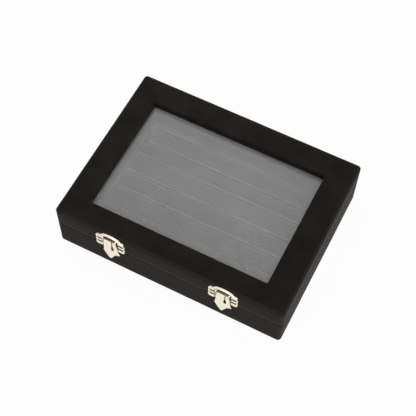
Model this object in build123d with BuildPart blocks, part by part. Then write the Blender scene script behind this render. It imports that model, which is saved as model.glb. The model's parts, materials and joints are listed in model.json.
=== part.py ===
from build123d import *
import os

# A velvet-covered cufflink display box with a glazed lid. Millimetres.
# X runs along the long side, the two latches face -Y, the hinges face +Y, and Z is up.
# The origin is under the middle of the box, on the surface it stands on.

os.makedirs("parts", exist_ok=True)

# ---------------------------------------------------------------- driving dimensions
# box
box_length = 200.0  # outside, along X
box_depth = 150.0  # outside, along Y, without the metal fittings
base_height = 29.5  # underside to the seam
lid_height = 19.5  # seam to the top
corner_radius = 3.0  # upright corners
edge_radius = 2.6  # top edge of the lid and bottom edge of the base
seam_radius = 1.2  # both edges at the seam
largest_fillet = 0.95  # of the corner radius, for an edge that runs round the corners
# sheet and board
velvet = 0.8  # velvet cloth with its glue
wall_board = 5.0  # side walls of base and lid
floor_board = 3.0
rail_board = 4.5  # flat frame around the window
fold_width = 12.0  # cloth turned in under the base
felt_gap = 0.3  # between the turned-in cloth and the felt sheet
# window: widths of the four rails, as seen from above
left_rail = 21.0
right_rail = 23.2
front_rail = 19.7
back_rail = 22.7
window_radius = 1.2  # plan corners of the window
# glass and the beads that hold it from below
glass_thickness = 2.0
glass_seam = 0.4  # ground edges of the pane
glass_overlap = 8.0  # hidden under the rails, all round
glass_gap = 0.3  # beside the glass edge
bead_depth = 2.5  # below the glass
bead_setback = 1.5  # bead edge, back from the window edge
# insert
insert_gap = 0.3  # around the insert and between its parts
face_card = 1.5  # covered card around the rolls
field_length = 149.6  # window of the face card, along X
roll_widths = (18.2, 17.2, 17.7, 14.5, 14.9)  # foam rolls, front to back
roll_height = 15.5  # up to the shoulders
roll_crown = 1.1  # top of a roll above its shoulders
roll_shoulder = 1.6  # rounding of a roll's long top edges
roll_waist = 0.35  # how far a roll's long sides draw in
roll_gap = 0.5  # slit between two rolls
# latches
latch_spacing = 99.2  # middle to middle
latch_width = 25.2  # plate, across the wings
latch_sheet = 0.8
wing_lift = 0.8  # ribs of the wings above the sheet
wing_slope = 0.4  # fall of a wing's top edge from the arch to the tip
latch_seam_gap = 0.6  # plate above the seam, and catch below it
latch_top_gap = 0.6  # top of the arch below the top of the lid
arch_half_width = 10.0
arch_rise = 3.3  # top of the arch above its feet
arch_rim = 1.3  # width of the raised rim
arch_lift = 1.0  # rim above the sheet
arch_rounding = 0.4
wing_corner = 2.2  # lower corners of the wings
wing_tip_corner = 1.2  # upper corners of the wings
groove_radius = 1.0
groove_depth = 0.8
groove_count = 2
latch_pin_radius = 0.6
latch_pin_drop = 4.0  # pin below the top of the arch
latch_pin_out = 1.7  # pin in front of the wall
barrel_radius = 1.3
barrel_half = 4.8  # half length of the flap's barrel
ear_width = 1.2
latch_gap = 0.3  # between moving faces
pin_clearance = 0.05  # radial, where a pin turns
# the flap's outline, as half widths and heights
flap_sheet = 0.8
flap_offset = 0.4  # middle of the flap right of the middle of the plate
flap_shoulder_half = 5.5
flap_shoulder_drop = 1.6
flap_waist_half = 6.6
flap_waist_drop = 1.5  # below the seam
flap_tip_half = 7.5
flap_tip_drop = 6.9  # below the seam
flap_notch_half = 4.0  # the notch is on the right; the left edge runs straight from the tip to the nose
flap_notch_rise = 0.2  # above the tips
flap_reach = 13.9  # where the nose's straight edges would meet, below the seam
nose_radius = 1.8
nose_out = 3.5  # nose in front of the wall
flap_dome = 1.6  # middle of the flap in front of its edges
top_dome_share = 0.25  # of the full dome, at the pin
middle_dome_share = 0.75  # of the full dome, half way down to the seam
slot_offset = 2.1  # middle of the slot right of the middle of the flap
slot_half = 0.4
slot_wide_half = 1.2
slot_wide_rise = 3.2  # widest place above the seam
slot_taper = 5.6
slot_end_rise = 0.3  # lower end above the seam
catch_width = 11.0
catch_height = 7.5
catch_nose_half = 1.0
catch_nose_lift = 0.8  # above its plate
catch_nose_height = 1.8
# hinges
hinge_spacing = 110.0  # middle to middle
hinge_width = 20.0
hinge_sheet = 0.8
leaf_height = 9.0
leaf_corner = 1.5
knuckle_radius = 1.6
middle_knuckle = 6.4  # length of the lid's knuckle
hinge_pin_radius = 0.7
hinge_gap = 0.3  # between moving faces
# nails
nail_radius = 0.5
nail_head_radius = 1.1
nail_head = 0.5
nail_head_taper = 25  # degrees
nail_length = 4.5  # in the wall
latch_nail_half = 3.2  # half spacing on plate and catch
latch_nail_height = 4.9  # above the seam
catch_nail_drop = 5.2  # below the top of the catch
hinge_nail_half = 6.6
hinge_nail_height = 5.6  # from the seam

# ---------------------------------------------------------------- worked-out places
half_length = box_length / 2
half_depth = box_depth / 2
seam = base_height
lid_top = base_height + lid_height
wall = velvet + wall_board + velvet
floor_top = velvet + floor_board
rail_bottom = lid_top - velvet - rail_board
glass_top = rail_bottom - velvet
glass_bottom = glass_top - glass_thickness
bead_bottom = glass_bottom - bead_depth

# plan rectangles as (low x, high x, low y, high y)
sides = ("front", "back", "left", "right")


def inset_plan(inset):
    """The box outline drawn in by one inset all round."""
    return (inset - half_length, half_length - inset, inset - half_depth, half_depth - inset)


def grow(plan, amount):
    """A plan rectangle moved outwards by one amount all round."""
    return (plan[0] - amount, plan[1] + amount, plan[2] - amount, plan[3] + amount)


board_outside = inset_plan(velvet)
board_inside = inset_plan(velvet + wall_board)
pocket = inset_plan(wall)
fold_inside = inset_plan(fold_width)
window = (left_rail - half_length, half_length - right_rail, front_rail - half_depth, half_depth - back_rail)
window_board = grow(window, velvet)
pane = grow(window, glass_overlap)
field_depth = sum(roll_widths)
field = (-field_length / 2, field_length / 2, -field_depth / 2, field_depth / 2)
insert_outside = grow(pocket, -insert_gap)
roll_bottom = seam - roll_height
roll_top = seam + roll_crown

# latch and hinge places
latch_places = (("left", -latch_spacing / 2), ("right", latch_spacing / 2))
hinge_places = (("left", -hinge_spacing / 2), ("right", hinge_spacing / 2))
arch_top = lid_top - latch_top_gap
wing_top = arch_top - arch_rise
wing_tip_top = wing_top - wing_slope
plate_low = seam + latch_seam_gap
latch_pin_z = arch_top - latch_pin_drop
latch_pin_y = -half_depth - latch_pin_out
barrel_front = latch_pin_out + barrel_radius
arch_radius = (arch_half_width**2 + arch_rise**2) / (2 * arch_rise)
arch_centre = arch_top - arch_radius
nose_z = seam - flap_reach
tip_z = seam - flap_tip_drop
wing_inner = flap_waist_half + flap_offset + latch_gap  # ribs of the wings clear the flap
catch_top = seam - latch_seam_gap
hinge_out = knuckle_radius + hinge_gap
hinge_y = half_depth + hinge_out

# the two long outside faces, each with Z up its sketch and its normal outwards
front_face = Plane(origin=(0, -half_depth, 0), x_dir=(1, 0, 0), z_dir=(0, -1, 0))
back_face = Plane(origin=(0, half_depth, 0), x_dir=(-1, 0, 0), z_dir=(0, 1, 0))


def pairs(places, half_spacing, height):
    """Two points at one height about each fitting on a long face."""
    return [(middle + way * half_spacing, height) for _, middle in places for way in (-1, 1)]


lid_latch_nails = pairs(latch_places, latch_nail_half, seam + latch_nail_height)
base_latch_nails = pairs(latch_places, latch_nail_half, catch_top - catch_nail_drop)
lid_hinge_nails = pairs(hinge_places, hinge_nail_half, seam + hinge_nail_height)
base_hinge_nails = pairs(hinge_places, hinge_nail_half, seam - hinge_nail_height)


# ---------------------------------------------------------------- helpers
def save(piece, name):
    """Label a finished piece and write its file."""
    piece.part.label = name
    export_step(piece.part, f"parts/{name}.step")


def slab(plan, bottom, top, mode=Mode.ADD):
    """An upright block over a plan rectangle, in the part being built."""
    with Locations(((plan[0] + plan[1]) / 2, (plan[2] + plan[3]) / 2, (bottom + top) / 2)):
        Box(plan[1] - plan[0], plan[3] - plan[2], top - bottom, mode=mode)


def rounded_slab(plan, radius, bottom, top, mode=Mode.ADD):
    """An upright block with rounded plan corners, in the part being built."""
    with BuildSketch(Plane.XY.offset(bottom)) as outline:
        with Locations(((plan[0] + plan[1]) / 2, (plan[2] + plan[3]) / 2)):
            RectangleRounded(plan[1] - plan[0], plan[3] - plan[2], radius)
    extrude(outline.sketch, amount=top - bottom, mode=mode)


def soft_block(inset, bottom, top, low_radius, high_radius):
    """A block of the box's outline, drawn in by an inset, with its level edges rounded."""
    radius = corner_radius - inset
    limit = radius * largest_fillet
    with BuildPart() as block:
        rounded_slab(inset_plan(inset), radius, bottom, top)
        fillet(block.faces().sort_by(Axis.Z)[0].edges(), min(low_radius, limit))
        fillet(block.faces().sort_by(Axis.Z)[-1].edges(), min(high_radius, limit))
    return block.part


def strip(side, outer, inner):
    """Plan of one side of a butt-jointed frame; front and back run its full length."""
    plans = {
        "front": (outer[0], outer[1], outer[2], inner[2]),
        "back": (outer[0], outer[1], inner[3], outer[3]),
        "left": (outer[0], inner[0], inner[2], inner[3]),
        "right": (inner[1], outer[1], inner[2], inner[3]),
    }
    return plans[side]


def nail_holes(face, points, sheet=0.0):
    """Holes that the nail shanks fill, through a sheet and into the wall, in the part being built."""
    with BuildSketch(face.offset(sheet)) as holes:
        with Locations(*points):
            Circle(nail_radius)
    extrude(holes.sketch, amount=-sheet - nail_length, mode=Mode.SUBTRACT)


def nails(face, points, sheet):
    """Nails through a sheet of metal that lies on a long outside face, in the part being built."""
    with BuildSketch(face.offset(-nail_length)) as shanks:
        with Locations(*points):
            Circle(nail_radius)
    extrude(shanks.sketch, amount=nail_length + sheet)
    with BuildSketch(face.offset(sheet)) as heads:
        with Locations(*points):
            Circle(nail_head_radius)
    extrude(heads.sketch, amount=nail_head, taper=nail_head_taper)


def rod(y, z, radius, x_low, x_high, mode=Mode.ADD):
    """A round bar along X, in the part being built."""
    with BuildSketch(Plane.YZ.offset(x_low)) as end:
        with Locations((y, z)):
            Circle(radius)
    extrude(end.sketch, amount=x_high - x_low, mode=mode)


# ---------------------------------------------------------------- base
inner_edge = edge_radius - velvet
inner_seam = max(seam_radius - velvet, 0.2)
base_block = soft_block(0, 0, seam, edge_radius, seam_radius)
base_core = soft_block(velvet, velvet, seam - velvet, inner_edge, inner_seam)
lid_block = soft_block(0, seam, lid_top, seam_radius, edge_radius)
lid_core = soft_block(velvet, seam + velvet, lid_top - velvet, inner_seam, inner_edge)

for side in sides:
    with BuildPart() as base_wall:
        add(base_core)
        slab(strip(side, board_outside, board_inside), velvet, seam - velvet, Mode.INTERSECT)
        if side == "front":
            nail_holes(front_face, base_latch_nails)
        if side == "back":
            nail_holes(back_face, base_hinge_nails)
    save(base_wall, f"base_{side}_wall")

with BuildPart() as base_floor:
    slab(board_inside, velvet, floor_top)
save(base_floor, "base_floor")

# one cloth: turned in under the floor, up the outside, over the rim and down the inside
with BuildPart() as base_velvet:
    add(base_block)
    add(base_core, mode=Mode.SUBTRACT)
    slab(fold_inside, 0, velvet, Mode.SUBTRACT)
    slab(board_inside, floor_top, seam - velvet)
    slab(pocket, floor_top, seam, Mode.SUBTRACT)
    nail_holes(front_face, base_latch_nails)
    nail_holes(back_face, base_hinge_nails)
save(base_velvet, "base_velvet")

with BuildPart() as bottom_felt:
    slab(grow(fold_inside, -felt_gap), 0, velvet)
save(bottom_felt, "bottom_felt")

# ---------------------------------------------------------------- insert
with BuildPart() as insert_platform:
    slab(grow(field, -insert_gap), floor_top, roll_bottom)
save(insert_platform, "insert_platform")

for side in sides:
    with BuildPart() as insert_block:
        slab(strip(side, insert_outside, field), floor_top, seam - face_card)
    save(insert_block, f"insert_{side}_block")

with BuildPart() as insert_face:
    slab(insert_outside, seam - face_card, seam)
    slab(field, seam - face_card, seam, Mode.SUBTRACT)
save(insert_face, "insert_face")


def make_roll(name, front, back):
    """A velvet-covered foam roll: flat below, drawn in at the sides and crowned above."""
    middle = (front + back) / 2
    half_height = (roll_bottom + seam) / 2
    with BuildPart() as roll:
        with BuildSketch(Plane.YZ.offset(field[0] + insert_gap)) as section:
            with BuildLine():
                Line((front, roll_bottom), (back, roll_bottom))
                ThreePointArc((back, roll_bottom), (back - roll_waist, half_height), (back, seam))
                ThreePointArc((back, seam), (middle, roll_top), (front, seam))
                ThreePointArc((front, seam), (front + roll_waist, half_height), (front, roll_bottom))
            make_face()
            fillet(section.vertices().group_by(Axis.Y)[-1], roll_shoulder)
        extrude(amount=field_length - 2 * insert_gap)
        ends = roll.faces().filter_by(Axis.X)
        fillet([edge for end in ends for edge in end.edges().group_by(Axis.Z)[-1]], roll_shoulder / 2)
    save(roll, name)


roll_front = field[2]
for number, width in enumerate(roll_widths, start=1):
    make_roll(f"foam_roll_{number}", roll_front + roll_gap / 2, roll_front + width - roll_gap / 2)
    roll_front += width

# ---------------------------------------------------------------- lid
for side in sides:
    with BuildPart() as lid_wall:
        add(lid_core)
        slab(strip(side, board_outside, board_inside), seam + velvet, rail_bottom, Mode.INTERSECT)
        if side == "front":
            nail_holes(front_face, lid_latch_nails)
        if side == "back":
            nail_holes(back_face, lid_hinge_nails)
    save(lid_wall, f"lid_{side}_wall")

for side in sides:
    with BuildPart() as lid_rail:
        add(lid_core)
        slab(strip(side, board_outside, window_board), rail_bottom, lid_top - velvet, Mode.INTERSECT)
    save(lid_rail, f"lid_{side}_rail")

# one cloth: down the window edge and under the rails, over the top, down the outside,
# under the rim and up the inside to the beads
with BuildPart() as lid_velvet:
    add(lid_block)
    add(lid_core, mode=Mode.SUBTRACT)
    slab(pocket, seam, seam + velvet, Mode.SUBTRACT)
    slab(board_inside, seam + velvet, bead_bottom)
    slab(pocket, seam, bead_bottom, Mode.SUBTRACT)
    slab(window_board, glass_top, lid_top - velvet)
    slab(pane, glass_top, rail_bottom)
    rounded_slab(window, window_radius, glass_top, lid_top, Mode.SUBTRACT)
    nail_holes(front_face, lid_latch_nails)
    nail_holes(back_face, lid_hinge_nails)
save(lid_velvet, "lid_velvet")

with BuildPart() as glass_pane:
    slab(pane, glass_bottom, glass_top)
    chamfer(glass_pane.edges(), glass_seam)
save(glass_pane, "glass_pane")

# each bead fills the corner between the lid wall and the rails and carries the glass on its lip
for side in sides:
    with BuildPart() as bead:
        slab(strip(side, board_inside, grow(window, bead_setback)), bead_bottom, rail_bottom)
        slab(grow(pane, glass_gap), glass_bottom, rail_bottom, Mode.SUBTRACT)
    save(bead, f"glass_{side}_bead")


# ---------------------------------------------------------------- latches
def make_latch_plate(name, x_mid):
    """The winged plate on the lid: ribbed wings, an arched rim and two ears for the pin."""
    face = front_face.shift_origin((x_mid, -half_depth, 0))
    window_half = barrel_half + latch_gap
    half_width = latch_width / 2
    rib = (wing_top - plate_low) / (groove_count + 1)
    groove_y = -half_depth - latch_sheet - wing_lift + groove_depth - groove_radius
    with BuildPart() as plate:
        with BuildSketch(face) as outline:
            with BuildLine():
                Line((-half_width, plate_low), (half_width, plate_low))
                Line((half_width, plate_low), (half_width, wing_tip_top))
                Line((half_width, wing_tip_top), (arch_half_width, wing_top))
                ThreePointArc((arch_half_width, wing_top), (0, arch_top), (-arch_half_width, wing_top))
                Line((-arch_half_width, wing_top), (-half_width, wing_tip_top))
                Line((-half_width, wing_tip_top), (-half_width, plate_low))
            make_face()
            fillet(outline.vertices().group_by(Axis.Y)[0], wing_corner)
            for end in (0, -1):
                fillet(outline.vertices().group_by(Axis.X)[end].sort_by(Axis.Y)[-1], wing_tip_corner)
        extrude(amount=latch_sheet)
        # raised rim along the arch
        with BuildSketch(face.offset(latch_sheet)) as rim:
            with Locations((0, arch_centre)):
                Circle(arch_radius)
                Circle(arch_radius - arch_rim, mode=Mode.SUBTRACT)
            with Locations((0, wing_top + arch_rise / 2)):
                Rectangle(2 * arch_half_width, arch_rise, mode=Mode.INTERSECT)
        extrude(amount=arch_lift)
        rim_front = plate.faces().filter_by(Axis.Y).sort_by(Axis.Y)[0]
        fillet(rim_front.edges().filter_by(GeomType.CIRCLE), arch_rounding)
        # raised ribs of the wings, with the outline of the plate
        with BuildSketch(face.offset(latch_sheet)) as wings:
            add(outline.sketch_local)
            Rectangle(2 * wing_inner, 2 * lid_top, mode=Mode.SUBTRACT)
        extrude(amount=wing_lift)
        # ears that hold the pin
        for way in (-1, 1):
            with BuildSketch(Plane.YZ.offset(x_mid + way * (window_half + ear_width / 2))) as ear:
                with Locations((latch_pin_y, latch_pin_z)):
                    Circle(barrel_radius)
                with Locations((latch_pin_y + latch_pin_out / 2, latch_pin_z)):
                    Rectangle(latch_pin_out, 2 * barrel_radius)
            extrude(amount=ear_width / 2, both=True)
        # recess for the barrel, between the ears
        with BuildSketch(face) as recess:
            with Locations((0, latch_pin_z)):
                Rectangle(2 * window_half, 2 * (barrel_radius + latch_gap))
        extrude(amount=barrel_front, mode=Mode.SUBTRACT)
        # grooves across the wings
        for count in range(1, groove_count + 1):
            for low, high in ((wing_inner, half_width), (-half_width, -wing_inner)):
                groove_z = plate_low + rib * count
                rod(groove_y, groove_z, groove_radius, x_mid + low, x_mid + high, Mode.SUBTRACT)
        ear_end = window_half + ear_width
        rod(latch_pin_y, latch_pin_z, latch_pin_radius, x_mid - ear_end, x_mid + ear_end, Mode.SUBTRACT)
        nail_holes(front_face, lid_latch_nails, latch_sheet)
    save(plate, name)


def dome_arc(x_half, middle, edge):
    """Points of an arc seen from above: from one edge over the middle to the other."""
    return (-x_half, -edge), (0, -middle), (x_half, -edge)


def make_latch_flap(name, x_mid):
    """The duck-bill flap: barrels on the pin and a domed shield with two tips and a pointed nose."""
    flap_mid = x_mid + flap_offset
    face = front_face.shift_origin((flap_mid, -half_depth, 0))
    spread = flap_tip_half + latch_gap
    shoulder_z = latch_pin_z - barrel_radius - 2 * latch_gap
    shoulder_low = shoulder_z - flap_shoulder_drop
    waist_z = seam - flap_waist_drop
    neck_half = barrel_half - flap_offset
    # height, with how far the middle and the edges stand in front of the wall
    levels = (
        (latch_pin_z, barrel_front, barrel_front - flap_dome * top_dome_share),
        ((latch_pin_z + seam) / 2, barrel_front, barrel_front - flap_dome * middle_dome_share),
        (waist_z, barrel_front, barrel_front - flap_dome),
        (tip_z, barrel_front, barrel_front - flap_dome),
        (nose_z - latch_gap, nose_out, nose_out - flap_dome),
    )
    with BuildPart() as flap:
        for level, middle, edge in levels:
            with BuildSketch(Plane.XY.offset(level).shift_origin((flap_mid, -half_depth, level))) as section:
                with BuildLine():
                    ThreePointArc(*dome_arc(spread, middle, edge))
                    Line((spread, -edge), (spread, flap_sheet - edge))
                    ThreePointArc(*dome_arc(spread, middle - flap_sheet, edge - flap_sheet))
                    Line((-spread, flap_sheet - edge), (-spread, -edge))
                make_face()
        loft()
        with BuildSketch(face) as shield:
            with BuildLine():
                for way in (-1, 1):
                    neck = (way * neck_half, shoulder_z)
                    shoulder = (way * flap_shoulder_half, shoulder_low)
                    waist = (way * flap_waist_half, waist_z)
                    Line((0, latch_pin_z), (way * neck_half, latch_pin_z))
                    Line((way * neck_half, latch_pin_z), neck)
                    TangentArc(neck, shoulder, tangent=(way, 0))
                    Line(shoulder, waist)
                    TangentArc(waist, (way * flap_tip_half, tip_z), tangent=(0, -1))
                Line((-flap_tip_half, tip_z), (0, nose_z))
                Line((flap_tip_half, tip_z), (flap_notch_half, tip_z + flap_notch_rise))
                Line((flap_notch_half, tip_z + flap_notch_rise), (0, nose_z))
            make_face()
            fillet(shield.vertices().group_by(Axis.Y)[0], nose_radius)
        extrude(amount=nose_out + flap_dome, mode=Mode.INTERSECT)
        rod(latch_pin_y, latch_pin_z, barrel_radius, x_mid - barrel_half, x_mid + barrel_half)
        bore = latch_pin_radius + pin_clearance
        rod(latch_pin_y, latch_pin_z, bore, x_mid - barrel_half, x_mid + barrel_half, Mode.SUBTRACT)
        # slot from between the barrels down to where the catch comes through
        wide_z = seam + slot_wide_rise
        with BuildSketch(face.shift_origin((flap_mid + slot_offset, -half_depth, 0))):
            with BuildLine():
                Line((0, latch_pin_z + barrel_radius), (slot_half, latch_pin_z + barrel_radius))
                Line((slot_half, latch_pin_z + barrel_radius), (slot_half, wide_z + slot_taper))
                Line((slot_half, wide_z + slot_taper), (slot_wide_half, wide_z))
                TangentArc((slot_wide_half, wide_z), (0, seam + slot_end_rise), tangent=(0, -1))
                Line((0, seam + slot_end_rise), (0, latch_pin_z + barrel_radius))
            make_face()
            mirror(about=Plane.YZ)
        extrude(amount=nose_out + flap_dome, mode=Mode.SUBTRACT)
    save(flap, name)


def make_latch_pin(name, x_mid):
    """The pin through the ears and the flap's barrels."""
    half = barrel_half + latch_gap + ear_width
    with BuildPart() as pin:
        rod(latch_pin_y, latch_pin_z, latch_pin_radius, x_mid - half, x_mid + half)
    save(pin, name)


def make_latch_catch(name, x_mid):
    """The small plate on the base with the nose that the flap's slot closes over."""
    face = front_face.shift_origin((x_mid, -half_depth, 0))
    nose_mid = x_mid + flap_offset + slot_offset
    with BuildPart() as catch:
        with BuildSketch(face) as outline:
            with Locations((0, catch_top - catch_height / 2)):
                RectangleRounded(catch_width, catch_height, wing_corner / 2)
        extrude(amount=latch_sheet)
        with BuildSketch(Plane.YZ.offset(nose_mid - catch_nose_half)):
            with Locations((-half_depth - latch_sheet, catch_top)):
                Polygon(
                    (0, 0),
                    (-catch_nose_lift, -catch_nose_height / 2),
                    (-catch_nose_lift, -catch_nose_height),
                    (0, -catch_nose_height),
                    align=None,
                )
        extrude(amount=2 * catch_nose_half)
        nail_holes(front_face, base_latch_nails, latch_sheet)
    save(catch, name)


for side, x_mid in latch_places:
    make_latch_plate(f"{side}_latch_plate", x_mid)
    make_latch_flap(f"{side}_latch_flap", x_mid)
    make_latch_pin(f"{side}_latch_pin", x_mid)
    make_latch_catch(f"{side}_latch_catch", x_mid)


# ---------------------------------------------------------------- hinges
def leaf_sheet(x_mid, low, high):
    """A hinge leaf's flat sheet on the back face, in the part being built."""
    with BuildSketch(back_face) as outline:
        with Locations((-x_mid, (low + high) / 2)):
            RectangleRounded(hinge_width, high - low, leaf_corner)
    extrude(outline.sketch, amount=hinge_sheet)


def make_base_leaf(name, x_mid):
    """The leaf on the base, with the two outer knuckles."""
    half = hinge_width / 2
    inner = middle_knuckle / 2 + hinge_gap
    cut = knuckle_radius + hinge_gap
    with BuildPart() as leaf:
        leaf_sheet(x_mid, seam - leaf_height, seam)
        slab((x_mid - inner, x_mid + inner, half_depth, hinge_y), seam - cut, seam, Mode.SUBTRACT)
        for low in (x_mid - half, x_mid + inner):
            rod(hinge_y, seam, knuckle_radius, low, low + half - inner)
        rod(hinge_y, seam, hinge_pin_radius, x_mid - half, x_mid + half, Mode.SUBTRACT)
        nail_holes(back_face, base_hinge_nails, hinge_sheet)
    save(leaf, name)


def make_lid_leaf(name, x_mid):
    """The leaf on the lid, with the middle knuckle."""
    half = hinge_width / 2
    inner = middle_knuckle / 2
    cut = knuckle_radius + hinge_gap
    with BuildPart() as leaf:
        leaf_sheet(x_mid, seam, seam + leaf_height)
        for low in (x_mid - half, x_mid + inner):
            plan = (low, low + half - inner, half_depth, hinge_y)
            slab(plan, seam, seam + cut, Mode.SUBTRACT)
        rod(hinge_y, seam, knuckle_radius, x_mid - inner, x_mid + inner)
        bore = hinge_pin_radius + pin_clearance
        rod(hinge_y, seam, bore, x_mid - inner, x_mid + inner, Mode.SUBTRACT)
        nail_holes(back_face, lid_hinge_nails, hinge_sheet)
    save(leaf, name)


for side, x_mid in hinge_places:
    make_base_leaf(f"{side}_hinge_base_leaf", x_mid)
    make_lid_leaf(f"{side}_hinge_lid_leaf", x_mid)
    with BuildPart() as hinge_pin:
        rod(hinge_y, seam, hinge_pin_radius, x_mid - hinge_width / 2, x_mid + hinge_width / 2)
    save(hinge_pin, f"{side}_hinge_pin")

# ---------------------------------------------------------------- nails
with BuildPart() as base_nails:
    nails(front_face, base_latch_nails, latch_sheet)
    nails(back_face, base_hinge_nails, hinge_sheet)
save(base_nails, "base_nails")

with BuildPart() as lid_nails:
    nails(front_face, lid_latch_nails, latch_sheet)
    nails(back_face, lid_hinge_nails, hinge_sheet)
save(lid_nails, "lid_nails")
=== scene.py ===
import json
import math

import bmesh
import bpy
from mathutils import Euler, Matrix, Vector, noise


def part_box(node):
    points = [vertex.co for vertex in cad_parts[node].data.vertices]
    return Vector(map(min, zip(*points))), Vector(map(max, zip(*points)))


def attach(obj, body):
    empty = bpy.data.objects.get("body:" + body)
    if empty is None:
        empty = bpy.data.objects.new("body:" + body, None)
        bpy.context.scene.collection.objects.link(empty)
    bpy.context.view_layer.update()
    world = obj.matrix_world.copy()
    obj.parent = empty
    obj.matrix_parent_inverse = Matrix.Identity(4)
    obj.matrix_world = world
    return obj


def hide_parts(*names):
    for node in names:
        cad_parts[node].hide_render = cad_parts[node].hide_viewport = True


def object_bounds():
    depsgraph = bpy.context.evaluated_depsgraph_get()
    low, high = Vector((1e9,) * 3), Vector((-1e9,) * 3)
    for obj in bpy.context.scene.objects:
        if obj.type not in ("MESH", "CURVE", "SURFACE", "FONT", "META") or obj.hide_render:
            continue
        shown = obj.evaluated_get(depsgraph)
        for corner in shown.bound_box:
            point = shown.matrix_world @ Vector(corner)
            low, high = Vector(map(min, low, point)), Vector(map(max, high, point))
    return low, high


# A velvet-covered cufflink display box with a glazed lid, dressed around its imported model.
# Metres, in the model's own frame: latches face -Y, hinges face +Y, Z is up.

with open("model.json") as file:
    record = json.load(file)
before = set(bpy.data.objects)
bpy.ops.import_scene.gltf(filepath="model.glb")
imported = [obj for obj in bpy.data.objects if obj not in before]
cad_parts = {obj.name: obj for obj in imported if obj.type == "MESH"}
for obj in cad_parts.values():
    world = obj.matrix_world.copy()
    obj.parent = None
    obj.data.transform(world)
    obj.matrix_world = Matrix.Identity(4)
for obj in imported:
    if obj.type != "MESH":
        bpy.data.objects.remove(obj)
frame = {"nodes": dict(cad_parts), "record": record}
cad_low, cad_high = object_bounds()

mm = 0.001

# ---------------------------------------------------------------- sizes and places
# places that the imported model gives
lid_low, lid_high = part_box("lid_velvet")
base_low, base_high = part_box("base_velvet")
face_low, face_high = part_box("insert_face")
rail_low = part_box("lid_left_rail")[1]
rail_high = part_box("lid_right_rail")[0]
rail_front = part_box("lid_front_rail")[1]
rail_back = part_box("lid_back_rail")[0]
field_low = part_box("foam_roll_1")[0]
field_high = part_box("foam_roll_5")[1]

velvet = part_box("bottom_felt")[1].z  # thickness of the cloth with its glue
seam = base_high.z
lid_top = lid_high.z
glass_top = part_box("glass_pane")[1].z
bead_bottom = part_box("glass_front_bead")[0].z
floor_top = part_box("base_floor")[1].z

# cloth
corner_radius = 3.0 * mm  # upright corners
edge_radius = 2.6 * mm  # top edge of the lid and bottom edge of the base
seam_radius = 1.2 * mm
lip_radius = 0.9 * mm  # where the cloth turns down into the window
window_radius = 1.2 * mm  # plan corners of the window
rim_radius = 0.7 * mm  # inside edge of a wall
fold_width = 12.0 * mm  # cloth turned in under the base
fold_radius = 0.5 * mm  # plan corners of the turned-in edge
least_radius = 0.02 * mm  # plan corners that are nearly sharp
side_faces = 40  # faces of the cloth along each side of the box
corner_faces = 5  # and round each upright corner
rail_rows = 8  # and across the lid's rails
side_shares = (0.25, 0.5, 0.75)  # rows down a side, between its bends
cloth_wave = 0.09 * mm  # unevenness of the glued cloth
cloth_wave_length = 24.0 * mm
highlight_amount = 0.6  # how much of the painted highlight shows on the box's edges
shade_amount = 0.9  # how much of the painted shade shows inside
insert_gap = 0.3 * mm  # around the insert and between its parts
card_radius = 1.0 * mm  # rounding of the covered card around the rolls
# rolls
roll_count = 5
roll_start = 0.8 * mm  # smaller than its place by this much before it is blown up
roll_shoulder = 1.5 * mm
roll_crown = 1.1 * mm
roll_voxel = 2.2 * mm
roll_pressure = 4.0  # of the simulation that blows the rolls up
blow_steps = 20
roll_swell = 1.4 * mm  # farthest that a point may move
roll_wave = 0.22 * mm
roll_wave_length = 14.0 * mm
end_fall = 4.0 * mm  # from a roll's end to its full height
# latches: places are across from a middle, out from the wall, and up
plate_columns, plate_rows = 70, 50
flap_columns, flap_rows = 40, 44
rod_sides = 32
sheet = 0.8 * mm
arch_half_width = 10.0 * mm
arch_rise = 3.3 * mm
wing_slope = 0.4 * mm  # fall of a wing's top edge from the arch to the tip
wing_corner = 2.2 * mm  # lower corners of the wings
wing_tip_corner = 1.2 * mm  # upper corners of the wings
wing_inner = 6.8 * mm  # where the ribs start
wing_lift = 0.8 * mm  # ribs above the sheet
rib_count = 3
groove_depth = 0.8 * mm
groove_half = 1.7 * mm
rim_width = 1.3 * mm
rim_lift = 1.0 * mm
recess_half_width = 5.1 * mm
recess_half_height = 1.6 * mm
recess_out = 0.15 * mm  # metal left behind the barrel
ear_width = 1.2 * mm
ear_wall = 0.7 * mm  # around the pin
latch_gap = 0.3 * mm  # between the barrel and the ears
barrel_inset = 0.1 * mm  # the wrapped sheet stands this far over the barrel in it
flap_spread = 7.8 * mm  # half width over which the dome falls by its full depth
flap_dome = 1.6 * mm
flap_nose_out = 0.5 * mm  # nose in front of the barrel
tip_above_nose = 6.1 * mm
waist_drop = 1.5 * mm  # the flap's waist, below the seam
notch_across = 4.0 * mm
notch_rise = 0.2 * mm  # above the tips
nose_apex = 1.1 * mm  # where the nose's straight edges would meet, below its rounded end
slot_across = 2.1 * mm
slot_half = 0.4 * mm
slot_wide_half = 1.2 * mm
slot_end = 0.3 * mm  # above the seam, as are the next two
slot_wide = 3.2 * mm
slot_narrow = 8.8 * mm
# rounding of metal edges
rod_edge = 0.18 * mm
metal_edge = 0.15 * mm
nail_edge = 0.12 * mm
bead_edge = 0.3 * mm


# ---------------------------------------------------------------- shaping helpers
def begin(name, primitive, **shape):
    """Adds a primitive at its size and place and opens it in edit mode with nothing selected."""
    bpy.ops.object.select_all(action="DESELECT")
    primitive(**shape)
    piece = bpy.context.object
    piece.name = piece.data.name = name
    bpy.ops.object.transform_apply(location=True, rotation=True, scale=True)
    bpy.ops.object.mode_set(mode="EDIT")
    bpy.ops.mesh.select_all(action="DESELECT")
    return piece


def close():
    """Leaves edit mode."""
    bpy.ops.object.mode_set(mode="OBJECT")


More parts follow.
